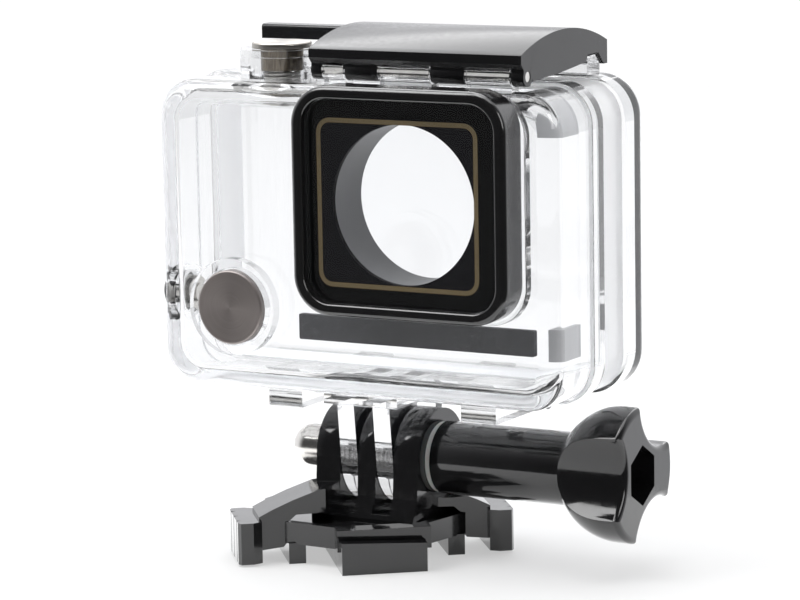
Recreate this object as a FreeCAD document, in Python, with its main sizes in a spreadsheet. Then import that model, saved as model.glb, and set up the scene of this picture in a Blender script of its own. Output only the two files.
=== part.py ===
import FreeCAD, Part
import math
import os
import re
import Sketcher
from FreeCAD import Vector, Rotation, Placement

# Clear waterproof housing for a small box camera, with its latch, push buttons,
# three-prong quick-release buckle and thumb screw.
# Frame: origin on the underside of the buckle, straight below the tilt axis,
# +Z up, lens port facing -Y, thumb screw on +X.  Millimetres.

doc = FreeCAD.newDocument("clear_housing")
dims = doc.addObject("Spreadsheet::Sheet", "dims")

TABLE = [
    ("tilt_height", 15.0, "tilt axis above the buckle underside"),
    ("house_left", -34.4, "housing, left face at the flange"),
    ("house_right", 35.6, "housing, right face at the flange"),
    ("house_low", 24.8, "housing, bottom face at the flange"),
    ("house_high", 73.3, "housing, top face at the flange"),
    ("front_face", -12.1, "front face of the shell"),
    ("flange_front", -1.0, "front edge of the rim flange"),
    ("rim", 3.0, "mating rim of the front shell"),
    ("flange_step", 0.6, "flange stands proud of the shell by this"),
    ("wall", 2.2, "side wall thickness"),
    ("front_wall", 2.4, "front wall thickness"),
    ("corner_out", 6.4, "outer corner radius"),
    ("corner_in", 4.3, "inner corner radius"),
    ("edge_round", 2.4, "front edge rounding"),
    ("seal_front", 3.05, "door seal, front face"),
    ("seal_back", 9.95, "door seal, back face"),
    ("seal_inset", 0.5, "door seal stands back from the flange"),
    ("seal_wide", 2.6, "door seal, band thickness"),
    ("door_front", 10.0, "back door, front face"),
    ("door_back", 17.4, "back door, back face"),
    ("door_wall", 2.2, "back door panel thickness"),
    ("port_x", 12.57, "lens port centre, X"),
    ("port_z", 56.1, "lens port centre, Z"),
    ("port_r", 11.94, "lens port, clear radius"),
    ("tube_out", 12.8, "port tube, outer radius"),
    ("bez_left", -5.55, "bezel, left"),
    ("bez_right", 30.47, "bezel, right"),
    ("bez_low", 39.07, "bezel, bottom"),
    ("bez_high", 73.48, "bezel, top"),
    ("bez_front", -19.15, "bezel, front face"),
    ("bez_back", -13.9, "bezel, back face"),
    ("bez_rim", 1.9, "bezel, rim width"),
    ("bez_corner", 6.0, "bezel, corner radius"),
    ("boss_front", -13.85, "lens boss, front face"),
    ("boss_high", 72.4, "lens boss, top"),
    ("glass_front", -17.9, "lens glass, front face"),
    ("mask_front", -17.1, "mask plate, front face"),
    ("mask_back", -16.3, "mask plate, back face"),
    ("tube_back", -8.6, "port tube, inner end"),
    ("latch_left", -6.2, "latch, left end"),
    ("latch_right", 29.7, "latch, right end"),
    ("latch_pin_y", -9.84, "latch hinge axis, Y"),
    ("latch_pin_z", 74.93, "latch hinge axis, Z"),
    ("latch_pin_r", 0.75, "latch hinge pin radius"),
    ("door_pin_y", 14.5, "door hinge axis, Y"),
    ("door_pin_z", 22.5, "door hinge axis, Z"),
    ("door_pin_r", 0.9, "door hinge pin radius"),
    ("run_gap", 0.05, "radial running clearance"),
    ("finger_pitch", 6.2, "pitch of the mount fingers"),
    ("finger_thick", 2.9, "mount finger thickness"),
    ("finger_r", 7.5, "mount finger outer radius"),
    ("slot_wide", 3.1, "slot between the prongs"),
    ("screw_r", 2.45, "thumb screw shank radius"),
    ("screw_bore", 2.52, "bore for the thumb screw"),
    ("sleeve_r", 5.6, "knob sleeve radius"),
    ("knob_r", 10.3, "knob lobe radius"),
    ("knob_face", 43.0, "knob outer face, X"),
    ("socket_r", 4.62, "hex socket, corner radius (8 mm across flats)"),
    ("base_turn", 39.0, "buckle base turned about the vertical, degrees"),
    ("base_shift", -3.7, "buckle base centre line from the tilt centre"),
    ("press", 1.2, "button stroke"),
    ("stem_r", 1.5, "button stem radius"),
    ("front_btn_x", -19.7, "front button, X"),
    ("front_btn_z", 38.4, "front button, Z"),
    ("top_btn_x", -17.7, "top button, X"),
    ("top_btn_y", -0.6, "top button, Y"),
    ("side_btn_y", -3.8, "side button, Y"),
    ("side_btn_z", 38.8, "side button, Z"),
    ("strip_left", -9.6, "front rubber strip, left"),
    ("strip_right", 30.6, "front rubber strip, right"),
    ("strip_low", 33.7, "front rubber strip, bottom"),
    ("strip_high", 37.6, "front rubber strip, top"),
]
VAL = {}
for i, (alias, value, text) in enumerate(TABLE):
    r = str(i + 1)
    dims.set("A" + r, text)
    dims.set("B" + r, str(value))
    dims.setAlias("B" + r, alias)
    VAL[alias] = value
doc.recompute()

NAMES = sorted(VAL, key=len, reverse=True)
PAT = re.compile(r"\b(" + "|".join(NAMES) + r")\b")


def ex(e):
    """Sheet expression: aliases get the sheet's name."""
    return PAT.sub(lambda m: "dims." + m.group(1), str(e))


def bind(obj, prop, e):
    obj.setExpression(prop, ex(e))


def box(name, x, y, z):
    o = doc.addObject("Part::Box", name)
    for p, (a, b) in zip(("Length", "Width", "Height"), (x, y, z)):
        bind(o, p, "(%s)-(%s)" % (b, a))
    for p, (a, b) in zip("xyz", (x, y, z)):
        bind(o, "Placement.Base." + p, a)
    return o


def cyl(name, axis, at, lo, hi, r):
    """Cylinder along X, Y or Z; at = the two other coordinates in order."""
    o = doc.addObject("Part::Cylinder", name)
    bind(o, "Radius", r)
    bind(o, "Height", "(%s)-(%s)" % (hi, lo))
    if axis == "X":
        o.Placement = Placement(Vector(0, 0, 0), Rotation(Vector(0, 1, 0), 90))
        b = (lo, at[0], at[1])
    elif axis == "Y":
        o.Placement = Placement(Vector(0, 0, 0), Rotation(Vector(1, 0, 0), -90))
        b = (at[0], lo, at[1])
    else:
        b = (at[0], at[1], lo)
    for p, v in zip("xyz", b):
        bind(o, "Placement.Base." + p, v)
    return o


def cone(name, axis, at, lo, hi, r_lo, r_hi):
    o = doc.addObject("Part::Cone", name)
    bind(o, "Radius1", r_lo)
    bind(o, "Radius2", r_hi)
    bind(o, "Height", "(%s)-(%s)" % (hi, lo))
    if axis == "X":
        o.Placement = Placement(Vector(0, 0, 0), Rotation(Vector(0, 1, 0), 90))
        b = (lo, at[0], at[1])
    elif axis == "Y":
        o.Placement = Placement(Vector(0, 0, 0), Rotation(Vector(1, 0, 0), -90))
        b = (at[0], lo, at[1])
    else:
        b = (at[0], at[1], lo)
    for p, v in zip("xyz", b):
        bind(o, "Placement.Base." + p, v)
    return o


def fuse(name, parts):
    o = doc.addObject("Part::MultiFuse", name)
    o.Shapes = parts
    return o


def cut(name, base, tools):
    tool = tools[0] if len(tools) == 1 else fuse(name + "_tools", tools)
    o = doc.addObject("Part::Cut", name)
    o.Base = base
    o.Tool = tool
    return o


def common(name, a, b):
    o = doc.addObject("Part::Common", name)
    o.Base = a
    o.Tool = b
    return o


def fillet(name, base, radius, pick):
    """Round the edges that pick(edge) accepts."""
    doc.recompute()
    r = VAL.get(radius, radius)
    o = doc.addObject("Part::Fillet", name)
    o.Base = base
    o.Edges = [(i + 1, r, r) for i, e in enumerate(base.Shape.Edges) if pick(e)]
    doc.recompute()
    if o.Shape.isNull() or not o.Shape.isValid():
        raise RuntimeError("fillet failed: " + name)
    return o


def along(e, axis):
    if e.Curve.TypeId != "Part::GeomLine":
        return False
    d = e.Curve.Direction
    return abs(abs(getattr(d, axis)) - 1) < 1e-6


def flat_at(e, axis, value):
    b = e.BoundBox
    return (abs(getattr(b, axis.upper() + "Min") - value) < 1e-4
            and abs(getattr(b, axis.upper() + "Max") - value) < 1e-4)


def rounded(name, x, y, z, radius):
    """Box with its Y-direction edges rounded."""
    return fillet(name, box(name + "_box", x, y, z), radius,
                  lambda e: along(e, "y"))


ROLE = {"XY": "XY_Plane", "XZ": "XZ_Plane", "YZ": "YZ_Plane"}


def prism(name, plane, pts, lo, hi, place=None):
    """Closed polygon padded from lo to hi along the plane's normal axis.
    Every corner is held by two distances from the origin."""
    body = doc.addObject("PartDesign::Body", name + "_body")
    sk = body.newObject("Sketcher::SketchObject", name + "_sketch")
    pl = [f for f in body.Origin.OriginFeatures if f.Role == ROLE[plane]][0]
    sk.AttachmentSupport = [(pl, "")]
    sk.MapMode = "FlatFace"
    n = len(pts)
    for i in range(n):
        a, b = pts[i], pts[(i + 1) % n]
        sk.addGeometry(Part.LineSegment(Vector(a[0], a[1], 0),
                                        Vector(b[0], b[1], 0)), False)
    for i in range(n):
        sk.addConstraint(Sketcher.Constraint("Coincident", i, 2, (i + 1) % n, 1))
    for i, p in enumerate(pts):
        for kind, v in (("DistanceX", p[0]), ("DistanceY", p[1])):
            if abs(v) < 1e-9:
                sk.addConstraint(Sketcher.Constraint(
                    "PointOnObject", i, 1, -2 if kind == "DistanceX" else -1))
            else:
                sk.addConstraint(Sketcher.Constraint(kind, -1, 1, i, 1, v))
    pad = body.newObject("PartDesign::Pad", name + "_pad")
    pad.Profile = sk
    bind(pad, "Length", "(%s)-(%s)" % (hi, lo))
    if plane == "XZ":
        bind(sk, "AttachmentOffset.Base.z", "-(%s)" % hi)
    else:
        bind(sk, "AttachmentOffset.Base.z", lo)
    body.Tip = pad
    if place is not None:
        body.Placement = place
    return body


def feature(name, shape, place=None):
    o = doc.addObject("Part::Feature", name)
    o.Shape = shape
    if place is not None:
        o.Placement = place
    return o


NODES = []


def node(label, obj):
    obj.Label = label
    NODES.append((label, obj))
    return obj


# ------------------------------------------------------------- front shell
L, R_, B, T = "house_left", "house_right", "house_low", "house_high"
main = rounded("shell_main", (L + "+flange_step", R_ + "-flange_step"),
               ("front_face", "rim-0.5"), (B + "+flange_step", T + "-flange_step"),
               VAL["corner_out"] - VAL["flange_step"])
main = fillet("shell_front_round", main, "edge_round",
              lambda e: flat_at(e, "y", VAL["front_face"]))
flange = rounded("shell_flange", (L, R_), ("flange_front", "rim"), (B, T), "corner_out")
flange = fillet("shell_flange_round", flange, 0.35,
                lambda e: flat_at(e, "y", VAL["flange_front"]) or flat_at(e, "y", VAL["rim"]))
boss = rounded("lens_boss", ("bez_left-0.5", "bez_right+0.5"), ("boss_front", "-10.2"),
               ("bez_low-0.6", "boss_high"), "bez_corner")
boss = fillet("lens_boss_round", boss, 0.5, lambda e: flat_at(e, "y", VAL["boss_front"]))

adds = [main, flange, boss]
PY, PZ = "latch_pin_y", "latch_pin_z"
for i, (a, b) in enumerate(((-4.3, -0.6), (5.3, 14.0), (20.0, 27.4))):
    adds.append(cyl("latch_eye%d" % i, "X", (PY, PZ), a, b, 1.6))
    adds.append(box("latch_eye_foot%d" % i, (a, b), (PY + "-0.8", PY + "+1.6"),
                    (T + "-1.4", PZ)))
DY, DZ = "door_pin_y", "door_pin_z"
for i, (a, b) in enumerate(((-20.0, -14.0), (14.0, 20.0))):
    adds.append(cyl("door_eye%d" % i, "X", (DY, DZ), a, b, 1.8))
    adds.append(box("door_arm%d" % i, (a, b), ("-3", DY), (DZ + "-1.2", DZ + "+1.4")))
    adds.append(box("door_arm_root%d" % i, (a, b), ("-3", "rim"), (DZ + "-1.2", B + "+0.9")))
# neck and two mount fingers
for i, s in enumerate((-1, 1)):
    c = "%d*finger_pitch/2" % s
    a, b = c + "-finger_thick/2", c + "+finger_thick/2"
    adds.append(cyl("finger_eye%d" % i, "X", ("0", "tilt_height"), a, b, "finger_r"))
    adds.append(prism("finger%d" % i, "YZ",
                      [(-7.5, 15), (7.5, 15), (8.6, 25.0), (3.0, 25.2), (3.0, 25.9), (-8.6, 25.9)], a, b))
adds.append(box("finger_root", ("-6.4", "6.4"), ("-9.2", "9.2"), ("23.7", "25.15")))
adds.append(box("finger_root_high", ("-6.4", "6.4"), ("-9.2", "rim-0.2"), ("25.0", "25.9")))
# button bosses
adds.append(cyl("front_boss", "Y", ("front_btn_x", "front_btn_z"), -13.9, -9.2, 7.5))
adds.append(cyl("side_boss", "X", ("side_btn_y", "side_btn_z"), -35.0, -31.7, 4.3))
top_boss = cyl("top_boss", "Z", ("top_btn_x", "top_btn_y"), 71.0, 77.0, 6.5)
top_step = box("top_boss_step", (-30, -10), ("rim-0.01", 12), (70, 74.0))
adds.append(cut("top_boss_cut", top_boss, [top_step]))
solid = fuse("shell_solid", adds)

cavity = rounded("shell_cavity", (L + "+flange_step+wall", R_ + "-flange_step-wall"),
                 ("front_face+front_wall", "rim+8"),
                 (B + "+flange_step+wall", T + "-flange_step-wall"), "corner_in")
cavity = fillet("shell_cavity_round", cavity, 1.6,
                lambda e: flat_at(e, "y", VAL["front_face"] + VAL["front_wall"]))
subs = [cavity]
subs.append(cyl("port_bore", "Y", ("port_x", "port_z"), -16, -9, "tube_out+0.05"))
subs.append(cyl("latch_eye_bore", "X", (PY, PZ), -10, 33, "latch_pin_r+run_gap"))
subs.append(cyl("door_eye_bore", "X", (DY, DZ), -22, 22, "door_pin_r+run_gap"))
subs.append(cyl("finger_bore", "X", ("0", "tilt_height"), -7, 7, "screw_bore"))
subs.append(cyl("front_recess", "Y", ("front_btn_x", "front_btn_z"), -20, -11.1, 6.0))
subs.append(cyl("front_spring_seat", "Y", ("front_btn_x", "front_btn_z"), -20, -10.5, 3.4))
subs.append(cyl("front_stem_bore", "Y", ("front_btn_x", "front_btn_z"), -20, 0, "stem_r+run_gap"))
subs.append(cyl("side_recess", "X", ("side_btn_y", "side_btn_z"), -40, -32.9, 3.35))
subs.append(cyl("side_stem_bore", "X", ("side_btn_y", "side_btn_z"), -40, -30, "stem_r+run_gap"))
subs.append(cyl("top_recess", "Z", ("top_btn_x", "top_btn_y"), 71.9, 80, 3.35))
subs.append(cyl("top_guard", "Z", ("top_btn_x", "top_btn_y"), 75.8, 80, 4.8))
subs.append(cyl("top_stem_bore", "Z", ("top_btn_x", "top_btn_y"), 66, 80, "stem_r+run_gap"))
node("front_shell", cut("front_shell_cut", solid, subs))

# ------------------------------------------------------------- door
panel = rounded("door_panel", (L, R_), ("door_front", "door_back"), (B, T), "corner_out")
panel = fillet("door_panel_round", panel, 2.6, lambda e: flat_at(e, "y", VAL["door_back"]))
ridge = prism("door_ridge", "YZ",
              [(10.1, 72.0), (14.4, 72.0), (14.4, 74.7), (12.9, 76.2), (11.4, 76.2), (10.1, 74.9)],
              "latch_left+0.4", "latch_right-0.4")
dadds = [panel, ridge]
for i, (a, b) in enumerate(((-13.8, -8.0), (8.0, 13.8))):
    dadds.append(cyl("door_hook%d" % i, "X", (DY, DZ), a, b, 1.8))
    dadds.append(box("door_hook_web%d" % i, (a, b), (DY + "-1.5", DY + "+1.8"), (DZ, B + "+1.2")))
dsolid = fuse("door_solid", dadds)
dish = rounded("door_dish", (L + "+wall+0.6", R_ + "-wall-0.6"), ("door_front-1", "door_back-door_wall"),
               (B + "+wall+0.6", T + "-wall-0.6"), "corner_in")
node("back_door", cut("back_door_cut", dsolid,
                      [dish, cyl("door_hook_bore", "X", (DY, DZ), -15, 15, "door_pin_r+run_gap")]))
s_out = rounded("seal_out", (L + "+seal_inset", R_ + "-seal_inset"), ("seal_front", "seal_back"),
                (B + "+seal_inset", T + "-seal_inset"), VAL["corner_out"] - VAL["seal_inset"])
s_in = rounded("seal_in", (L + "+seal_inset+seal_wide", R_ + "-seal_inset-seal_wide"),
               ("seal_front-1", "seal_back+1"),
               (B + "+seal_inset+seal_wide", T + "-seal_inset-seal_wide"), 3.3)
node("door_seal", cut("door_seal_cut", s_out, [s_in]))
node("door_hinge_pin", cyl("door_pin", "X", (DY, DZ), -20.4, 20.4, "door_pin_r"))

# ------------------------------------------------------------- lens port
bz = rounded("bezel_out", ("bez_left", "bez_right"), ("bez_front", "bez_back"),
             ("bez_low", "bez_high"), "bez_corner")
bz = fillet("bezel_round", bz, 0.9, lambda e: flat_at(e, "y", VAL["bez_front"]))
bz_in = rounded("bezel_in", ("bez_left+bez_rim", "bez_right-bez_rim"), ("bez_front-1", "bez_back+1"),
                ("bez_low+bez_rim", "bez_high-bez_rim"), 4.1)
bz = cut("bezel_ring", bz, [bz_in])
bz = fillet("bezel_ring_round", bz, 0.45,
            lambda e: flat_at(e, "y", VAL["bez_front"]) and
            e.BoundBox.XMin > VAL["bez_left"] + 1.8 - 1e-3 and
            e.BoundBox.XMax < VAL["bez_right"] - 1.8 + 1e-3 and
            e.BoundBox.ZMin > VAL["bez_low"] + 1.8 - 1e-3 and
            e.BoundBox.ZMax < VAL["bez_high"] - 1.8 + 1e-3)
node("lens_bezel", bz)
inner = (("bez_left+bez_rim+0.05", "bez_right-bez_rim-0.05"), ("bez_low+bez_rim+0.05", "bez_high-bez_rim-0.05"))
node("lens_glass", rounded("glass_plate", inner[0], ("glass_front", "mask_front-0.02"), inner[1], 4.05))
mk = rounded("mask_plate", inner[0], ("mask_front", "mask_back"), inner[1], 4.05)
node("lens_mask_plate", cut("mask_cut", mk,
                            [cyl("mask_hole", "Y", ("port_x", "port_z"), -20, -10, "port_r")]))
node("lens_port_tube", cut("tube_cut",
                           cyl("tube_outer", "Y", ("port_x", "port_z"), "mask_back+0.05", "tube_back", "tube_out"),
                           [cyl("tube_inner", "Y", ("port_x", "port_z"), -20, 0, "port_r")]))
node("lens_gasket", cut("gasket_cut",
                        cyl("gasket_outer", "Y", ("port_x", "port_z"), "mask_back+0.02", "bez_back", 15.0),
                        [cyl("gasket_inner", "Y", ("port_x", "port_z"), -20, 0, 12.95)]))

# ------------------------------------------------------------- pads
node("front_rubber_strip", rounded("strip_block", ("strip_left", "strip_right"),
                                   ("front_face+front_wall+0.02", "front_face+front_wall+1.0"),
                                   ("strip_low", "strip_high"), 0.25))
bay_wall = rounded("pad_bound", (L + "+flange_step+wall+0.02", R_ + "-flange_step-wall-0.02"),
                   ("front_face+front_wall+1.7", "rim"),
                   (B + "+flange_step+wall+0.02", T + "-flange_step-wall-0.02"), "corner_in")
pad_a = common("pad_high", box("pad_high_block", (30.8, R_), (-7.8, -2.6), (66.0, 70.2)), bay_wall)
pad_b = box("pad_low", (31.9, R_ + "-flange_step-wall-0.02"), (-7.8, -2.6), (32.8, 37.6))
pads = doc.addObject("Part::Compound", "pad_group")
pads.Links = [pad_a, pad_b]
node("side_pads", pads)

# ------------------------------------------------------------- latch
cover = prism("latch_outer", "YZ",
              [(-11.1, 75.9), (-12.0, 76.9), (-12.0, 81.5), (16.3, 81.5), (16.3, 74.6), (15.1, 74.6), (13.2, 76.5),
               (9.8, 76.5), (9.1, 75.4), (0.8, 74.6), (-8.4, 74.1), (-8.6, 75.9)],
              "latch_left", "latch_right")
cover = common("latch_crown", cover,
               cyl("latch_crown_round", "X", (2.15, 43.85), "latch_left-1", "latch_right+1", 37.15))
hollow = prism("latch_hollow", "YZ",
               [(-10.6, 70.0), (-10.6, 77.3), (-8.2, 78.0), (-2.2, 79.2), (2.9, 79.5),
                (9.2, 78.4), (12.0, 77.7), (12.0, 76.55), (8.0, 76.5), (8.0, 70.0)],
               "latch_left+1.6", "latch_right-1.6")
cover = cut("latch_shell", cover, [hollow])
ladds = [cover]
lsubs = []
for i, (a, b) in enumerate(((-6.2, -4.5), (-0.4, 5.1), (14.2, 19.8), (27.6, 29.7))):
    ladds.append(cyl("latch_barrel%d" % i, "X", (PY, PZ), a, b, 1.5))
    ladds.append(box("latch_barrel_web%d" % i, (a, b), (PY + "-1.35", PY + "+1.5"), (PZ, 78.0)))
for i, (a, b) in enumerate(((-4.5, -0.4), (5.1, 14.2), (19.8, 27.6))):
    lsubs.append(cyl("latch_gap%d" % i, "X", (PY, PZ), a, b, 1.95))
    lsubs.append(box("latch_gap_foot%d" % i, (a, b), (PY + "-3", PY + "+1.95"), (70, PZ)))
lsubs.append(cyl("latch_bore", "X", (PY, PZ), -10, 33, "latch_pin_r+run_gap"))
lsubs.append(box("slider_channel", ("latch_left-1", 11.6), (12.9, 18), (76.9, 84)))
latch = cut("latch_cut", fuse("latch_solid", ladds), lsubs)
node("latch_cover", latch)
node("latch_hinge_pin", cyl("latch_pin", "X", (PY, PZ), "latch_left+0.2", "latch_right-0.1", "latch_pin_r"))
bar = box("slider_bar", (-29.7, 8.0), (13.1, 16.1), (77.0, 79.3))
bar = fillet("slider_round", bar, 0.6, lambda e: along(e, "x") and e.BoundBox.ZMax > 79)
node("latch_lock_slider", bar)


def spring(name, radius, wire, length, turns, place):
    pitch = (length - 2 * wire) / turns
    helix = Part.makeHelix(pitch, length - 2 * wire, radius)
    prof = Part.Wire([Part.makeCircle(wire, Vector(radius, 0, 0), Vector(0, 1, 0))])
    coil = Part.Wire(helix.Edges).makePipeShell([prof], True, True)
    return feature(name, coil, place.multiply(Placement(Vector(0, 0, wire), Rotation())))


node("latch_lock_spring", spring("lock_coil", 0.72, 0.2, 3.3, 3.5,
                                 Placement(Vector(8.1, 14.6, 78.1), Rotation(Vector(0, 1, 0), 90))))

# ------------------------------------------------------------- buttons
# front button
FX, FZ = "front_btn_x", "front_btn_z"
fcap = cyl("front_cap_disc", "Y", (FX, FZ), -14.5, -12.6, 5.7)
fcap = fillet("front_cap_round", fcap, 0.35, lambda e: flat_at(e, "y", -14.5))
node("front_button_cap", fcap)
stem = cyl("front_stem_rod", "Y", (FX, FZ), -12.6, -8.4, "stem_r")
groove = cut("front_stem_groove", cyl("front_groove_out", "Y", (FX, FZ), -10.35, -9.85, 2),
             [cyl("front_groove_in", "Y", (FX, FZ), -11, -9, 1.05)])
clip_g = cut("front_clip_groove", cyl("front_clip_groove_out", "Y", (FX, FZ), -9.1, -8.6, 2),
             [cyl("front_clip_groove_in", "Y", (FX, FZ), -10, -8, 1.1)])
node("front_button_stem", cut("front_stem_cut", stem, [groove, clip_g]))
node("front_button_clip", cut("front_clip_cut", cyl("front_clip_disc", "Y", (FX, FZ), -9.1, -8.6, 2.6),
                              [cyl("front_clip_hole", "Y", (FX, FZ), -10, -8, 1.1)]))


def ring(name, big, small, place):
    o = doc.addObject("Part::Torus", name)
    o.Radius1 = big
    o.Radius2 = small
    o.Placement = place
    return o


node("front_button_oring", ring("front_oring", 1.285, 0.23,
                                Placement(Vector(VAL["front_btn_x"], -10.1, VAL["front_btn_z"]),
                                          Rotation(Vector(1, 0, 0), 90))))
node("front_button_spring", spring("front_coil", 2.6, 0.25, 2.08, 2.5,
                                   Placement(Vector(VAL["front_btn_x"], -10.51, VAL["front_btn_z"]),
                                             Rotation(Vector(1, 0, 0), 90))))
# top (shutter) button
TX, TY = "top_btn_x", "top_btn_y"
tdisc = cyl("top_cap_disc", "Z", (TX, TY), 77.1, 78.0, 4.6)
tdisc = fillet("top_cap_round", tdisc, 0.3, lambda e: flat_at(e, "z", 78.0))
tneck = cyl("top_cap_neck", "Z", (TX, TY), 73.8, 77.1, 3.3)
node("shutter_button_cap", fuse("top_cap", [tdisc, tneck]))
stem = cyl("top_stem_rod", "Z", (TX, TY), 69.3, 73.8, "stem_r")
groove = cut("top_stem_groove", cyl("top_groove_out", "Z", (TX, TY), 71.1, 71.6, 2),
             [cyl("top_groove_in", "Z", (TX, TY), 71, 72, 1.05)])
clip_g = cut("top_clip_groove", cyl("top_clip_groove_out", "Z", (TX, TY), 69.8, 70.3, 2),
             [cyl("top_clip_groove_in", "Z", (TX, TY), 69, 71, 1.1)])
node("shutter_button_stem", cut("top_stem_cut", stem, [groove, clip_g]))
node("shutter_button_clip", cut("top_clip_cut", cyl("top_clip_disc", "Z", (TX, TY), 69.8, 70.3, 2.6),
                                [cyl("top_clip_hole", "Z", (TX, TY), 69, 71, 1.1)]))
node("shutter_button_oring", ring("top_oring", 1.285, 0.23,
                                  Placement(Vector(VAL["top_btn_x"], VAL["top_btn_y"], 71.35), Rotation())))
node("shutter_button_spring", spring("top_coil", 2.6, 0.25, 1.86, 2.25,
                                     Placement(Vector(VAL["top_btn_x"], VAL["top_btn_y"], 71.91), Rotation())))
# side button
SY, SZ = "side_btn_y", "side_btn_z"
scap = cyl("side_cap_disc", "X", (SY, SZ), -37.0, -34.5, 3.15)
scap = fillet("side_cap_round", scap, 1.3, lambda e: flat_at(e, "x", -37.0))
node("side_button_cap", scap)
stem = cyl("side_stem_rod", "X", (SY, SZ), -34.5, -30.4, "stem_r")
groove = cut("side_stem_groove", cyl("side_groove_out", "X", (SY, SZ), -32.45, -31.95, 2),
             [cyl("side_groove_in", "X", (SY, SZ), -33, -31, 1.05)])
clip_g = cut("side_clip_groove", cyl("side_clip_groove_out", "X", (SY, SZ), -31.4, -30.9, 2),
             [cyl("side_clip_groove_in", "X", (SY, SZ), -32, -30, 1.1)])
node("side_button_stem", cut("side_stem_cut", stem, [groove, clip_g]))
node("side_button_clip", cut("side_clip_cut", cyl("side_clip_disc", "X", (SY, SZ), -31.4, -30.9, 2.6),
                             [cyl("side_clip_hole", "X", (SY, SZ), -32, -30, 1.1)]))
node("side_button_oring", ring("side_oring", 1.285, 0.23,
                               Placement(Vector(-32.2, VAL["side_btn_y"], VAL["side_btn_z"]),
                                         Rotation(Vector(0, 1, 0), 90))))
node("side_button_spring", spring("side_coil", 2.3, 0.25, 1.58, 1.75,
                                  Placement(Vector(-32.91, VAL["side_btn_y"], VAL["side_btn_z"]),
                                            Rotation(Vector(0, 1, 0), -90))))

# ------------------------------------------------------------- thumb screw
node("screw_shank", cyl("shank", "X", ("0", "tilt_height"), -12.7, 36.0, "screw_r"))
node("thrust_washer", cut("washer_cut", cyl("washer_disc", "X", ("0", "tilt_height"), 8.95, 9.75, 5.4),
                          [cyl("washer_hole", "X", ("0", "tilt_height"), 8, 11, "screw_r+run_gap")]))
sleeve = cyl("sleeve", "X", ("0", "tilt_height"), 9.8, 33.0, "sleeve_r")
ball = doc.addObject("Part::Sphere", "flare_ball")
bind(ball, "Radius", "knob_r")
bind(ball, "Placement.Base.x", "knob_face-2.8")
bind(ball, "Placement.Base.z", "tilt_height")
ball.Placement.Rotation = Rotation(Vector(0, 1, 0), 90)
flare = common("flare", ball, cyl("flare_zone", "X", ("0", "tilt_height"), 31.4, "knob_face-2.8", 12))
head = cyl("head", "X", ("0", "tilt_height"), "knob_face-2.8", "knob_face", "knob_r")
blank = fuse("knob_blank", [flare, head])
scallops = []
for k in range(3):
    a = math.radians(55 + 120 * k)
    y, z = 14.0 * math.cos(a), 15.0 + 14.0 * math.sin(a)
    scallops.append(cyl("scallop%d" % k, "X", (round(y, 4), round(z, 4)), 20, 50, 8.3))
lobed = cut("knob_lobed", blank, scallops)
lobed = fillet("knob_round", lobed, 0.9,
               lambda e: flat_at(e, "x", VAL["knob_face"]))
hexs = doc.addObject("Part::Prism", "socket_hex")
hexs.Polygon = 6
bind(hexs, "Circumradius", "socket_r")
hexs.Height = 8
hexs.Placement = Placement(Vector(38.2, 0, 15.0), Rotation(Vector(0, 1, 0), 90))
knob = cut("knob_cut", fuse("knob_solid", [lobed, sleeve]),
           [hexs, cyl("knob_bore", "X", ("0", "tilt_height"), 5, 36.0, "screw_r")])
node("thumb_knob", knob)

nut_hex = doc.addObject("Part::Prism", "nut_hex")
nut_hex.Polygon = 6
nut_hex.Circumradius = 4.6
nut_hex.Height = 3.15
nut_hex.Placement = Placement(Vector(-8.85, 0, 15.0), Rotation(Vector(0, 1, 0), 90))
barrel = cyl("nut_barrel", "X", ("0", "tilt_height"), -13.6, -8.7, 3.3)
dome = doc.addObject("Part::Sphere", "nut_dome")
dome.Radius = 3.3
dome.Placement = Placement(Vector(-13.6, 0, 15.0), Rotation())
node("cap_nut", cut("nut_cut", fuse("nut_solid", [nut_hex, barrel, dome]),
                    [cyl("nut_bore", "X", ("0", "tilt_height"), -12.9, 0, "screw_bore")]))

# ------------------------------------------------------------- buckle
TURN = Rotation(Vector(0, 0, 1), VAL["base_turn"])
SEAT = Placement(TURN.multVec(Vector(VAL["base_shift"], 0, 0)), TURN)
plate = prism("buckle_plate", "XY",
              [(-14.7, -6.0), (-7.2, -12.5), (-7.2, -15.0), (7.2, -15.0), (7.2, -12.5), (14.7, -6.0),
               (14.7, 11.0), (10.5, 15.0), (-10.5, 15.0), (-14.7, 11.0)], 3.0, 6.3, SEAT)
recess = prism("buckle_recess", "XY",
               [(-13.4, -5.3), (-5.9, -11.9), (5.9, -11.9), (13.4, -5.3),
                (13.4, 10.4), (9.9, 13.7), (-9.9, 13.7), (-13.4, 10.4)], 5.7, 8.0, SEAT)
plate = cut("buckle_plate_cut", plate, [recess])
keel = prism("buckle_keel", "XY",
             [(-6.9, -16.0), (6.1, -16.0), (6.5, -14.0), (6.5, 14.0), (-6.5, 14.0), (-6.9, -14.0)],
             0.0, 4.4, SEAT)
badds = [plate, keel]
badds.append(prism("buckle_nose", "XZ",
                   [(-6.9, 0.0), (6.1, 0.0), (6.1, 4.4), (-6.9, 4.9)], -17.6, -15.5, SEAT))
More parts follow.
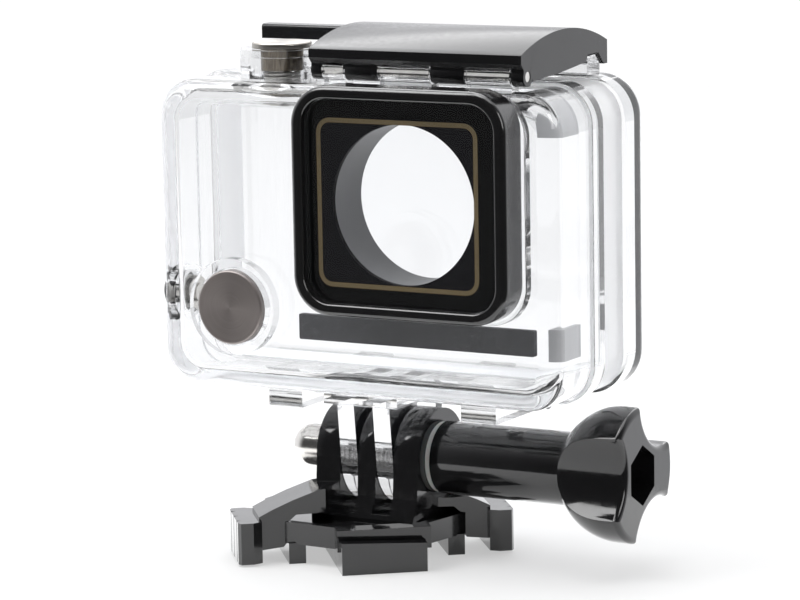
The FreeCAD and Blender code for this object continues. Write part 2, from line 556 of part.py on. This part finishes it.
for i, s in enumerate((-1, 1)):
    rail = [(s * 11.0, -8.0), (s * 13.6, -8.0), (s * 13.6, 12.0), (s * 11.0, 12.0)]
    badds.append(prism("buckle_rail%d" % i, "XY", rail, 0.0, 3.2, SEAT))
    arm = [(s * 17.9, 7.2), (s * 15.9, 8.2), (s * 12.6, 9.6), (s * 8.6, 11.0), (s * 5.0, 11.4),
           (s * 5.0, 6.6), (s * 8.4, 7.4), (s * 12.2, 7.3), (s * 13.5, 6.2), (s * 13.5, 3.2),
           (s * 14.2, 2.4), (s * 17.9, 2.0)]
    badds.append(prism("buckle_arm%d" % i, "XZ", arm, -6.6, 1.4, SEAT))
    grip = [(s * 17.6, -7.6), (s * 19.0, -8.4), (s * 20.9, -8.4), (s * 21.3, -7.6), (s * 21.3, 2.4),
            (s * 20.9, 3.2), (s * 19.0, 3.2), (s * 17.6, 2.4)]
    badds.append(prism("buckle_grip%d" % i, "XY", grip, 0.3, 6.7, SEAT))
badds.append(cyl("tower_eye", "X", ("0", "tilt_height"), -8.9, 8.9, "finger_r"))
badds.append(prism("tower_foot", "YZ",
                   [(-9.4, 3.0), (9.4, 3.0), (9.4, 6.4), (7.9, 9.6), (7.5, 15.0), (-7.5, 15.0),
                    (-7.9, 9.6), (-9.4, 6.4)], -8.9, 8.9))
bsubs = []
for i, s in enumerate((-1, 1)):
    c = "%d*finger_pitch/2" % s
    bsubs.append(box("tower_slot%d" % i, (c + "-slot_wide/2", c + "+slot_wide/2"), (-20, 20), (7.1, 30)))
bsubs.append(cyl("tower_bore", "X", ("0", "tilt_height"), -12, 12, "screw_bore"))
nutp = doc.addObject("Part::Prism", "nut_pocket")
nutp.Polygon = 6
nutp.Circumradius = 4.68
nutp.Height = 4
nutp.Placement = Placement(Vector(-9.65, 0, 15.0), Rotation(Vector(0, 1, 0), 90))
bsubs.append(nutp)
bsubs.append(cyl("sleeve_room", "X", ("0", "tilt_height"), 8.9, 34, 6.3))
bsubs.append(cyl("nut_room", "X", ("0", "tilt_height"), -30, -8.9, 5.2))
# ribs on the two finger grips
for i, s in enumerate((-1, 1)):
    for k in range(3):
        y = -6.0 + 3.4 * k
        bsubs.append(prism("grip_rib%d%d" % (i, k), "XY",
                           [(s * 20.6, y), (s * 22.5, y - 0.7), (s * 22.5, y + 0.7)], -1.0, 9.0, SEAT))
buckle = cut("buckle_cut", fuse("buckle_solid", badds), bsubs)
node("buckle", buckle)

# ------------------------------------------------------------- write
doc.recompute()
bad = [o.Name for o in doc.Objects if "Invalid" in o.State or "Error" in o.State]
if bad:
    raise RuntimeError("failed objects: " + ", ".join(bad))
os.makedirs("parts", exist_ok=True)
for f in os.listdir("parts"):
    if f.endswith(".step") and f[:-5] not in dict(NODES):
        os.remove(os.path.join("parts", f))
for label, obj in NODES:
    sh = obj.Shape
    if sh.isNull() or not sh.isValid() or not sh.Solids:
        raise RuntimeError("bad shape: " + label)
    sh.exportStep("parts/%s.step" % label)
    bb = sh.BoundBox
    print("%-24s solids %d vol %9.2f  x %7.2f %7.2f  y %7.2f %7.2f  z %7.2f %7.2f" % (
        label, len(sh.Solids), sh.Volume, bb.XMin, bb.XMax, bb.YMin, bb.YMax, bb.ZMin, bb.ZMax))
print(len(NODES), "nodes")
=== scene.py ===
import math

import bpy
import bmesh
from mathutils import Matrix, Vector


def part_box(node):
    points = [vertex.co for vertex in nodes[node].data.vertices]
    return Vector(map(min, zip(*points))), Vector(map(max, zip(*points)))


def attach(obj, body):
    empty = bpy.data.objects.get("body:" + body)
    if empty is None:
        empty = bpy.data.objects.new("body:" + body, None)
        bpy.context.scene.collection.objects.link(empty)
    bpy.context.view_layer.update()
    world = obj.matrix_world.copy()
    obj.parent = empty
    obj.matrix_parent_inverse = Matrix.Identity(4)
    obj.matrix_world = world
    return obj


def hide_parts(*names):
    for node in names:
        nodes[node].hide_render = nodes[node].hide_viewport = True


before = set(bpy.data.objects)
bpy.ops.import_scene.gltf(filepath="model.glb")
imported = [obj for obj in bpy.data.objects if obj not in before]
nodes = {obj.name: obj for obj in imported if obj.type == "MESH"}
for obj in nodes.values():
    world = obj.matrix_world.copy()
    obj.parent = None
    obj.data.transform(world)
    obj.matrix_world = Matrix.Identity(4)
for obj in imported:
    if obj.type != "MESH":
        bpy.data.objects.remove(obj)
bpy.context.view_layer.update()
MM = 0.001


# ------------------------------------------------------------------ node helpers
class Mat:
    """A material with a Principled shader and a few short ways to wire it."""

    def __init__(self, name, **sockets):
        self.m = bpy.data.materials.new(name)
        self.m.use_nodes = True
        self.nt = self.m.node_tree
        self.nt.nodes.clear()
        self.out = self.nt.nodes.new("ShaderNodeOutputMaterial")
        self.b = self.nt.nodes.new("ShaderNodeBsdfPrincipled")
        self.nt.links.new(self.b.outputs[0], self.out.inputs["Surface"])
        for k, v in sockets.items():
            self.b.inputs[k.replace("_", " ")].default_value = v
        tc = self.nt.nodes.new("ShaderNodeTexCoord")
        sc = self.nt.nodes.new("ShaderNodeVectorMath")
        sc.operation = "SCALE"
        sc.inputs["Scale"].default_value = 1000.0
        self.nt.links.new(tc.outputs["Object"], sc.inputs[0])
        self.mm = sc.outputs[0]

    def new(self, kind, **props):
        n = self.nt.nodes.new(kind)
        for k, v in props.items():
            setattr(n, k, v)
        return n

    def link(self, a, b):
        self.nt.links.new(a, b)

    def stretch(self, x, y, z, shift=(0, 0, 0)):
        n = self.new("ShaderNodeMapping")
        n.inputs["Location"].default_value = shift
        n.inputs["Scale"].default_value = (x, y, z)
        self.link(self.mm, n.inputs["Vector"])
        return n.outputs[0]

    def noise(self, scale, detail=3.0, rough=0.55, vec=None, dist=0.0):
        n = self.new("ShaderNodeTexNoise")
        n.inputs["Scale"].default_value = scale
        n.inputs["Detail"].default_value = detail
        n.inputs["Roughness"].default_value = rough
        n.inputs["Distortion"].default_value = dist
        self.link(vec or self.mm, n.inputs["Vector"])
        return n.outputs["Fac"]

    def cells(self, scale, vec=None, feature="F1"):
        n = self.new("ShaderNodeTexVoronoi", feature=feature)
        n.inputs["Scale"].default_value = scale
        self.link(vec or self.mm, n.inputs["Vector"])
        return n.outputs["Distance"]

    def span(self, val, a, b, c, d, smooth=False):
        n = self.new("ShaderNodeMapRange", interpolation_type="SMOOTHSTEP" if smooth else "LINEAR")
        for k, v in zip(("From Min", "From Max", "To Min", "To Max"), (a, b, c, d)):
            n.inputs[k].default_value = v
        self.link(val, n.inputs["Value"])
        return n.outputs[0]

    def math(self, op, a, b=None, c=None):
        n = self.new("ShaderNodeMath", operation=op)
        for i, v in enumerate((a, b, c)):
            if v is None:
                continue
            if isinstance(v, (int, float)):
                n.inputs[i].default_value = v
            else:
                self.link(v, n.inputs[i])
        return n.outputs[0]

    def axis(self, name):
        n = self.new("ShaderNodeSeparateXYZ")
        self.link(self.mm, n.inputs[0])
        return n.outputs[name]

    def mix(self, fac, a, b):
        n = self.new("ShaderNodeMix", data_type="RGBA")
        self.link(fac, n.inputs[0])
        for s, v in ((n.inputs[6], a), (n.inputs[7], b)):
            if isinstance(v, tuple):
                s.default_value = (*v, 1.0) if len(v) == 3 else v
            else:
                self.link(v, s)
        return n.outputs[2]

    def colour(self, sock):
        self.link(sock, self.b.inputs["Base Color"])

    def rough(self, sock):
        self.link(sock, self.b.inputs["Roughness"])

    def bump(self, height, strength, depth_mm, under=None):
        n = self.new("ShaderNodeBump")
        n.inputs["Strength"].default_value = strength
        n.inputs["Distance"].default_value = depth_mm * MM
        self.link(height, n.inputs["Height"])
        if under is not None:
            self.link(under, n.inputs["Normal"])
        return n.outputs[0]

    def normal(self, sock):
        self.link(sock, self.b.inputs["Normal"])

    def radius(self, axis, centre):
        """Distance in mm from a line along X, Y or Z through the other two coordinates."""
        n = self.new("ShaderNodeSeparateXYZ")
        self.link(self.mm, n.inputs[0])
        others = [a for a in "XYZ" if a != axis]
        d = [self.math("SUBTRACT", n.outputs[a], c) for a, c in zip(others, centre)]
        s = self.math("ADD", self.math("MULTIPLY", d[0], d[0]), self.math("MULTIPLY", d[1], d[1]))
        return self.math("SQRT", s), self.math("ARCTAN2", d[1], d[0])

    def lets_lamps_through(self, tint):
        """Light from the lamps passes the clear plastic instead of being stopped by it."""
        clear = self.new("ShaderNodeBsdfTransparent")
        clear.inputs["Color"].default_value = (*tint, 1)
        path = self.new("ShaderNodeLightPath")
        m = self.new("ShaderNodeMixShader")
        self.link(path.outputs["Is Shadow Ray"], m.inputs[0])
        self.link(self.b.outputs[0], m.inputs[1])
        self.link(clear.outputs[0], m.inputs[2])
        self.link(m.outputs[0], self.out.inputs["Surface"])


# ------------------------------------------------------------------ materials
def clear_plastic():
    k = Mat("clear_polycarbonate", Metallic=0.0, IOR=1.56, Transmission_Weight=1.0)
    haze = k.noise(0.12, 3.0, 0.55, k.stretch(1.6, 1, 0.35))
    k.colour(k.mix(haze, (0.95, 0.955, 0.963), (0.99, 0.992, 0.996)))
    smear = k.noise(0.5, 4.0, 0.6, k.stretch(1, 1, 0.25))
    k.rough(k.span(smear, 0.40, 0.8, 0.01, 0.11))
    wave = k.noise(0.16, 1.0, 0.4)
    k.normal(k.bump(wave, 0.4, 0.05))
    k.lets_lamps_through((0.93, 0.94, 0.95))
    return k.m


def port_glass():
    k = Mat("port_window_glass", Metallic=0.0, IOR=1.2, Transmission_Weight=1.0)
    k.colour(k.mix(k.noise(0.1, 1.0), (0.90, 0.906, 0.915), (0.92, 0.925, 0.932)))
    k.rough(k.span(k.noise(0.8, 4.0), 0.5, 0.85, 0.0, 0.05))
    k.lets_lamps_through((0.96, 0.97, 0.98))
    return k.m


def milky_seal():
    k = Mat("milky_silicone_seal", IOR=1.41, Transmission_Weight=0.72)
    k.colour(k.mix(k.noise(0.35, 3.0), (0.93, 0.93, 0.935), (0.985, 0.985, 0.99)))
    k.rough(k.span(k.noise(1.4, 3.0), 0.3, 0.7, 0.3, 0.45))
    k.lets_lamps_through((0.8, 0.8, 0.8))
    k.normal(k.bump(k.noise(2.0, 3.0), 0.2, 0.03))
    return k.m


def gloss_black():
    k = Mat("gloss_black_abs", IOR=1.5, Coat_Weight=0.25, Coat_Roughness=0.05)
    k.colour(k.mix(k.noise(0.25, 4.0), (0.0045, 0.0045, 0.005), (0.0105, 0.0105, 0.011)))
    k.rough(k.span(k.noise(0.9, 5.0, 0.6), 0.3, 0.75, 0.06, 0.17))
    sink = k.noise(0.2, 1.5, 0.4)
    grain = k.noise(5.0, 2.0, 0.5)
    k.normal(k.bump(grain, 0.06, 0.008, k.bump(sink, 0.6, 0.07)))
    return k.m


def soft_black():
    k = Mat("satin_black_latch", IOR=1.5)
    k.colour(k.mix(k.noise(0.3, 4.0), (0.008, 0.008, 0.0088), (0.016, 0.016, 0.017)))
    k.rough(k.span(k.noise(1.1, 5.0, 0.6), 0.3, 0.75, 0.17, 0.27))
    sink = k.noise(0.12, 1.0, 0.4)
    grain = k.noise(6.0, 3.0, 0.6)
    k.normal(k.bump(grain, 0.08, 0.006, k.bump(sink, 0.3, 0.05)))
    return k.m


def bezel_black():
    k = Mat("bezel_black", IOR=1.5, Coat_Weight=0.6, Coat_Roughness=0.08)
    k.colour(k.mix(k.noise(0.3, 4.0), (0.005, 0.005, 0.0055), (0.011, 0.0108, 0.011)))
    k.rough(k.span(k.noise(1.2, 5.0, 0.6), 0.3, 0.75, 0.15, 0.26))
    k.normal(k.bump(k.noise(5.0, 2.0), 0.08, 0.006, k.bump(k.noise(0.2, 1.0), 0.3, 0.04)))
    return k.m


def mask_black():
    """Matt plate behind the glass: charcoal inside the printed line, deep black outside it."""
    k = Mat("mask_plate_black", IOR=1.45)
    k.b.inputs["Specular IOR Level"].default_value = 0.02
    dx = k.math("ABSOLUTE", k.math("SUBTRACT", k.axis("X"), 11.6))
    dz = k.math("ABSOLUTE", k.math("SUBTRACT", k.axis("Z"), 56.0))
    side = k.math("MAXIMUM", k.math("SUBTRACT", dx, 13.2), k.math("SUBTRACT", dz, 12.3))
    outside = k.span(side, -0.1, 0.15, 0.0, 1.0, True)
    inside = k.mix(k.noise(0.5, 4.0), (0.004, 0.0037, 0.0046), (0.0066, 0.0062, 0.0075))
    k.colour(k.mix(outside, inside, (0.0012, 0.0012, 0.0013)))
    k.rough(k.span(k.noise(1.2, 3.0), 0.3, 0.7, 0.3, 0.42))
    return k.m


def gold_line():
    k = Mat("printed_amber_line", Metallic=0.2, IOR=1.45)
    k.colour(k.mix(k.noise(2.0, 3.0), (0.085, 0.060, 0.022), (0.15, 0.108, 0.046)))
    k.rough(k.span(k.noise(6.0, 3.0), 0.3, 0.7, 0.35, 0.5))
    return k.m


def port_grey():
    k = Mat("port_tube_grey", Metallic=0.0, IOR=1.48)
    r, a = k.radius("Y", (12.57, 56.1))
    turn = k.noise(2.2, 3.0, 0.5, k.stretch(0.15, 6.0, 0.15))
    k.colour(k.mix(turn, (0.085, 0.086, 0.09), (0.15, 0.151, 0.156)))
    k.rough(k.span(turn, 0.2, 0.8, 0.3, 0.46))
    k.normal(k.bump(turn, 0.4, 0.015))
    return k.m


def turned_metal(name, axis, centre, dark, light, metal=1.0, neck=None):
    """Face turned on a lathe: fine rings round the axis, plus pale wedges painted into the colour as a painted
    highlight of the conic glints such a face catches.
    """
    k = Mat(name, Metallic=metal, Anisotropic=0.75, IOR=1.6)
    r, a = k.radius(axis, centre)
    rings = k.new("ShaderNodeCombineXYZ")
    k.link(k.math("MULTIPLY", r, 9.0), rings.inputs[0])
    k.link(k.math("MULTIPLY", a, 0.25), rings.inputs[1])
    fine = k.noise(1.0, 4.0, 0.65, rings.outputs[0])
    # painted highlight: pale wedges by angle round the axis, standing in for the conic glints of turned metal
    painted_highlight_wedge = k.math("ABSOLUTE", k.math("COSINE", k.math("ADD", a, 0.75)))
    # colour mix of the real fine rings and the painted highlight wedges
    ring_tone_and_painted_highlight = k.math("ADD", k.math("MULTIPLY", fine, 0.55), k.math("MULTIPLY", k.math("POWER", painted_highlight_wedge, 3.0), 0.45))
    face = k.mix(ring_tone_and_painted_highlight, dark, light)
    if neck:
        below = k.span(k.axis("Z"), 76.9, 77.2, 1.0, 0.0)
        rib = k.span(k.noise(1.6, 2.0, 0.5, k.stretch(2.5, 2.5, 0.3)), 0.35, 0.65, 0.0, 1.0)
        face = k.mix(below, face, k.mix(rib, neck, tuple(c * 2.1 for c in neck)))
    k.colour(face)
    k.rough(k.span(fine, 0.25, 0.75, 0.26, 0.4))
    k.normal(k.bump(fine, 0.5, 0.006))
    t = k.new("ShaderNodeTangent", direction_type="RADIAL", axis=axis)
    k.link(t.outputs[0], k.b.inputs["Tangent"])
    return k.m


def polished_steel():
    k = Mat("polished_stainless", Metallic=1.0)
    k.colour(k.mix(k.noise(0.7, 4.0), (0.53, 0.515, 0.49), (0.72, 0.705, 0.68)))
    fine = k.noise(2.6, 4.0, 0.6, k.stretch(7.0, 0.6, 0.6))
    k.rough(k.span(fine, 0.3, 0.7, 0.12, 0.27))
    k.normal(k.bump(fine, 0.25, 0.006))
    return k.m


def screw_steel():
    k = Mat("screw_steel", Metallic=1.0)
    k.colour(k.mix(k.noise(0.9, 4.0), (0.25, 0.247, 0.25), (0.42, 0.415, 0.41)))
    k.rough(k.span(k.noise(2.5, 4.0), 0.3, 0.7, 0.2, 0.36))
    k.normal(k.bump(k.noise(5.0, 3.0), 0.2, 0.01))
    return k.m


def spring_wire():
    k = Mat("spring_wire", Metallic=1.0)
    k.colour(k.mix(k.noise(1.5, 3.0), (0.36, 0.35, 0.335), (0.55, 0.54, 0.52)))
    k.rough(k.span(k.noise(6.0, 3.0), 0.3, 0.7, 0.24, 0.4))
    return k.m


def rubber(name, dark, light, dust, rough=(0.6, 0.82)):
    """Moulded rubber with a little dust caught on it."""
    k = Mat(name, IOR=1.5)
    body = k.mix(k.noise(0.7, 5.0, 0.6), dark, light)
    specks = k.span(k.cells(2.6), 0.0, 0.11, 1.0, 0.0)
    lint = k.span(k.noise(2.2, 2.0, 0.5, k.stretch(0.6, 1, 2.2), 2.5), 0.66, 0.72, 0.0, 0.7)
    dirt = k.math("MULTIPLY", k.math("MAXIMUM", specks, lint), dust)
    k.colour(k.mix(dirt, body, (0.42, 0.42, 0.44)))
    k.rough(k.span(k.noise(3.0, 4.0), 0.3, 0.7, *rough))
    k.normal(k.bump(k.noise(7.0, 4.0, 0.65), 0.45, 0.03))
    return k.m


def nylon():
    k = Mat("nylon_washer", IOR=1.53, Subsurface_Weight=0.2, Subsurface_Scale=0.001)
    k.colour(k.mix(k.noise(0.6, 3.0), (0.62, 0.615, 0.59), (0.74, 0.735, 0.71)))
    k.rough(k.span(k.noise(2.0, 3.0), 0.3, 0.7, 0.35, 0.5))
    return k.m


M = {
    "clear": clear_plastic(),
    "glass": port_glass(),
    "seal": milky_seal(),
    "gloss": gloss_black(),
    "latch": soft_black(),
    "bezel": bezel_black(),
    "mask": mask_black(),
    "gold": gold_line(),
    "tube": port_grey(),
    "btn_front": turned_metal("turned_metal_front", "Y", (-19.7, 38.4), (0.20, 0.177, 0.169), (0.40, 0.358, 0.342), metal=0.5),
    "btn_top": turned_metal("turned_metal_top", "Z", (-17.7, -0.6), (0.34, 0.32, 0.295), (0.62, 0.6, 0.56),
                            neck=(0.10, 0.083, 0.062)),
    "btn_side": turned_metal("turned_metal_side", "X", (-3.8, 38.8), (0.02, 0.0195, 0.02), (0.055, 0.054, 0.055)),
    "steel": polished_steel(),
    "screw": screw_steel(),
    "spring": spring_wire(),
    "rubber": rubber("rubber_black", (0.010, 0.010, 0.011), (0.022, 0.022, 0.023), 0.0),
    "strip": rubber("rubber_strip_grey", (0.014, 0.014, 0.017), (0.032, 0.032, 0.037), 0.9),
    "pads": rubber("rubber_pad_grey", (0.33, 0.332, 0.34), (0.43, 0.43, 0.442), 0.15),
    "nylon": nylon(),
}
FINISH = {
    "front_shell": "clear", "back_door": "clear", "door_seal": "seal", "lens_glass": "glass",
    "lens_bezel": "bezel", "lens_mask_plate": "mask", "lens_port_tube": "tube", "lens_gasket": "rubber",
    "front_rubber_strip": "strip", "side_pads": "pads",
    "latch_cover": "latch", "latch_lock_slider": "latch", "latch_hinge_pin": "steel", "latch_lock_spring": "spring",
    "door_hinge_pin": "steel", "front_button_cap": "btn_front", "shutter_button_cap": "btn_top",
    "side_button_cap": "btn_side", "screw_shank": "screw", "cap_nut": "steel", "thrust_washer": "nylon",
    "thumb_knob": "gloss", "buckle": "gloss",
}
for n, o in nodes.items():
    if n in FINISH:
        pick = FINISH[n]
    elif n.endswith("_spring"):
        pick = "spring"
    elif n.endswith("_oring"):
        pick = "rubber"
    else:
        pick = "steel"
    if not o.material_slots:
        o.data.materials.append(M[pick])
    for s in o.material_slots:
        s.material = M[pick]


# ------------------------------------------------------------------ soft moulded edges
def edge_break(name, width_mm, angle=38, segments=2):
    """The moulded or machined edge radius that the CAD solid leaves sharp."""
    o = nodes[name]
    w = o.modifiers.new("join", "WELD")
    w.merge_threshold = 2e-6
    b = o.modifiers.new("edge", "BEVEL")
    b.width = width_mm * MM
    b.segments = segments
    b.limit_method = "ANGLE"
    b.angle_limit = math.radians(angle)
    b.use_clamp_overlap = True
    b.harden_normals = False
    return o


# ------------------------------------------------------------------ extra pieces
def piece(name, bm, mat, body, smooth=True):
    me = bpy.data.meshes.new(name)
    bmesh.ops.recalc_face_normals(bm, faces=bm.faces)
    bm.to_mesh(me)
    bm.free()
    me.materials.append(M[mat])
    for p in me.polygons:
        p.use_smooth = smooth
    o = bpy.data.objects.new(name, me)
    bpy.context.scene.collection.objects.link(o)
    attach(o, body)
    return o


def rounded_loop(x0, x1, z0, z1, r, n=10):
    """Points of a rounded rectangle in the XZ plane."""
    pts = []
    for cx, cz, a0 in ((x1 - r, z1 - r, 0), (x0 + r, z1 - r, 90), (x0 + r, z0 + r, 180), (x1 - r, z0 + r, 270)):
        for i in range(n + 1):
            a = math.radians(a0 + 90 * i / n)
            pts.append((cx + r * math.cos(a), cz + r * math.sin(a)))
    return pts


def frame_line():
    """The thin printed frame on the mask, a closed strip with a little thickness."""
    out_r = rounded_loop(-1.95, 25.15, 43.35, 68.65, 2.3)
    in_r = rounded_loop(-1.25, 24.45, 44.05, 67.95, 1.6)
    bm = bmesh.new()
    rows = []
    for pts, y in ((out_r, -17.104), (out_r, -17.116), (in_r, -17.116), (in_r, -17.104)):
        rows.append([bm.verts.new((x * MM, y * MM, z * MM)) for x, z in pts])
    n = len(out_r)
    for r in range(4):
        a, b = rows[r], rows[(r + 1) % 4]
        for i in range(n):
            j = (i + 1) % n
            bm.faces.new((a[i], a[j], b[j], b[i]))
    return piece("port_frame_line", bm, "gold", "housing", smooth=False)


def threaded_shank():
    """The thumb screw's shank with its real 0.8 mm right-hand thread where it runs in the prongs and nut."""
    lo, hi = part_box("screw_shank")
    x0, x1 = lo.x / MM, hi.x / MM
    crest = (hi.y - lo.y) / 2 / MM
    root, pitch, seg = crest - 0.42, 0.8, 40
    end = 9.0
    xs = [x0 + 0.1 * i for i in range(int((end - x0) / 0.1) + 1)]
    xs += [end + 0.6, x1 * 0.5 + 3, x1]
    bm = bmesh.new()
    rows = []
    for x in xs:
        row = []
        for k in range(seg):
            a = 2 * math.pi * k / seg
            ph = (x / pitch - k / seg) % 1.0
            tooth = min(1.0, max(0.0, 1.35 - abs(ph - 0.5) * 4.2))
            r = root + (crest - root) * tooth
            if x > end:
                r = crest
            elif x > end - 1.2:
                f = (x - (end - 1.2)) / 1.2
                r = r + (crest - r) * f
            if x < x0 + 0.5:
                r = min(r, crest - 0.45 * (1 - (x - x0) / 0.5))
            row.append(bm.verts.new((x * MM, r * math.cos(a) * MM, (15.0 + r * math.sin(a)) * MM)))
        rows.append(row)
    for a, b in zip(rows, rows[1:]):
        for i in range(seg):
            j = (i + 1) % seg
            bm.faces.new((a[i], a[j], b[j], b[i]))
    bm.faces.new(rows[0])
    bm.faces.new(rows[-1])
    o = piece("threaded_screw_shank", bm, "screw", "screw")
    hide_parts("screw_shank")
    return o


frame_line()
threaded_shank()
for n, w, a in (("buckle", 0.32, 38), ("latch_cover", 0.3, 20), ("latch_lock_slider", 0.22, 38),
                ("thumb_knob", 0.3, 38)):
    edge_break(n, w, a)

# ------------------------------------------------------------------ stage
sc = bpy.context.scene


def disc(name, radius, x, y, z, albedo, glow):
    bm = bmesh.new()
    bmesh.ops.create_circle(bm, cap_ends=True, radius=radius, segments=96)
    me = bpy.data.meshes.new(name)
    bm.to_mesh(me)
    bm.free()
    o = bpy.data.objects.new(name, me)
    sc.collection.objects.link(o)
    o.location = (x, y, z)
    k = Mat(name, Roughness=0.7)
    k.b.inputs["Base Color"].default_value = (albedo, albedo, albedo, 1)
    k.b.inputs["Specular IOR Level"].default_value = 0.1
    k.b.inputs["Emission Color"].default_value = (1, 1, 1, 1)
    k.b.inputs["Emission Strength"].default_value = glow
    me.materials.append(k.m)
    return o


# one pale floor for light and shadow, and a small near patch that the glossy parts mirror
floor = disc("floor", 0.42, -0.137, 0.244, -0.00003, 0.34, 0.46)
floor.visible_glossy = False
near = disc("floor_near", 0.085, 0.0, 0.0, -0.00002, 0.7, 0.5)
near.visible_camera = False
near.visible_diffuse = False
near.visible_transmission = False
near.visible_shadow = False

w = bpy.data.worlds.new("studio")
sc.world = w
w.use_nodes = True
nt = w.node_tree
nt.nodes.clear()
wout = nt.nodes.new("ShaderNodeOutputWorld")
tc = nt.nodes.new("ShaderNodeTexCoord")
dot = nt.nodes.new("ShaderNodeVectorMath")
dot.operation = "DOT_PRODUCT"
dot.inputs[1].default_value = (-0.49, 0.87, 0.0)
nt.links.new(tc.outputs["Generated"], dot.inputs[0])
mr = nt.nodes.new("ShaderNodeMapRange")
mr.interpolation_type = "SMOOTHSTEP"
for s, v in zip(("From Min", "From Max", "To Min", "To Max"), (-0.35, 0.45, 0.07, 1.25)):
    mr.inputs[s].default_value = v
nt.links.new(dot.outputs["Value"], mr.inputs["Value"])
dim = nt.nodes.new("ShaderNodeBackground")
dim.inputs["Color"].default_value = (0.97, 0.975, 1.0, 1)
nt.links.new(mr.outputs[0], dim.inputs["Strength"])
white = nt.nodes.new("ShaderNodeBackground")
white.inputs["Color"].default_value = (1, 1, 1, 1)
white.inputs["Strength"].default_value = 1.05
seen = nt.nodes.new("ShaderNodeBackground")
seen.inputs["Color"].default_value = (0.985, 0.99, 1.0, 1)
seen.inputs["Strength"].default_value = 0.88
lp = nt.nodes.new("ShaderNodeLightPath")
under = dim
for flag, bg in (("Is Transmission Ray", seen), ("Is Camera Ray", white)):
    ms = nt.nodes.new("ShaderNodeMixShader")
    nt.links.new(lp.outputs[flag], ms.inputs[0])
    nt.links.new(under.outputs[0], ms.inputs[1])
    nt.links.new(bg.outputs[0], ms.inputs[2])
    under = ms
nt.links.new(under.outputs[0], wout.inputs["Surface"])


def softbox(name, at, aim, size, power, colour=(1, 1, 1), size_y=None):
    d = bpy.data.lights.new(name, "AREA")
    d.energy = power
    d.color = colour
    d.shape = "RECTANGLE"
    d.size = size
    d.size_y = size_y or size
    o = bpy.data.objects.new(name, d)
    sc.collection.objects.link(o)
    o.location = at
    o.rotation_euler = (Vector(aim) - Vector(at)).to_track_quat("-Z", "Y").to_euler()
    o.visible_camera = False
    o.visible_transmission = False
    return o


softbox("key_top_left", (-0.55, -0.35, 0.85), (0, 0, 0.04), 0.55, 6.5)
softbox("overhead", (0.05, 0.12, 1.0), (0, 0, 0.03), 0.9, 3.2, size_y=0.5)
softbox("back_top", (-0.35, 0.62, 0.75), (0, 0, 0.05), 0.7, 3.6)
softbox("right_fill", (0.85, -0.25, 0.45), (0, 0, 0.04), 0.35, 2.6, size_y=0.6)
softbox("lobe_light", (-0.1, -0.15, 0.9), (0.03, 0, 0.02), 0.35, 2.4)

# ------------------------------------------------------------------ camera
az, el, roll = math.radians(29.54), math.radians(9.16), math.radians(-1.01)
F, D, U0, V0 = 3643.0, 0.5625, 391.1, 451.5
fwd = Vector((-math.sin(az) * math.cos(el), math.cos(az) * math.cos(el), -math.sin(el)))
right = Vector((math.cos(az), math.sin(az), 0))
up = right.cross(fwd)
right, up = right * math.cos(roll) + up * math.sin(roll), up * math.cos(roll) - right * math.sin(roll)
t = Vector(((U0 - 400) / F * D, -(V0 - 300) / F * D, D))
pos = Vector((0, 0, 0.015)) - (right * t.x + up * t.y + fwd * t.z)
cd = bpy.data.cameras.new("camera")
cd.sensor_width = 36.0
cd.lens = F * 36.0 / 800.0
cd.clip_start, cd.clip_end = 0.02, 20.0
cam = bpy.data.objects.new("camera", cd)
sc.collection.objects.link(cam)
cam.matrix_world = Matrix((
    (right.x, up.x, -fwd.x, pos.x),
    (right.y, up.y, -fwd.y, pos.y),
    (right.z, up.z, -fwd.z, pos.z),
    (0, 0, 0, 1)))
sc.camera = cam
sc.view_settings.view_transform = "Standard"
sc.view_settings.look = "None"
sc.cycles.max_bounces = 28
sc.cycles.transmission_bounces = 24
sc.cycles.glossy_bounces = 8
sc.cycles.transparent_max_bounces = 24

bpy.context.view_layer.update()
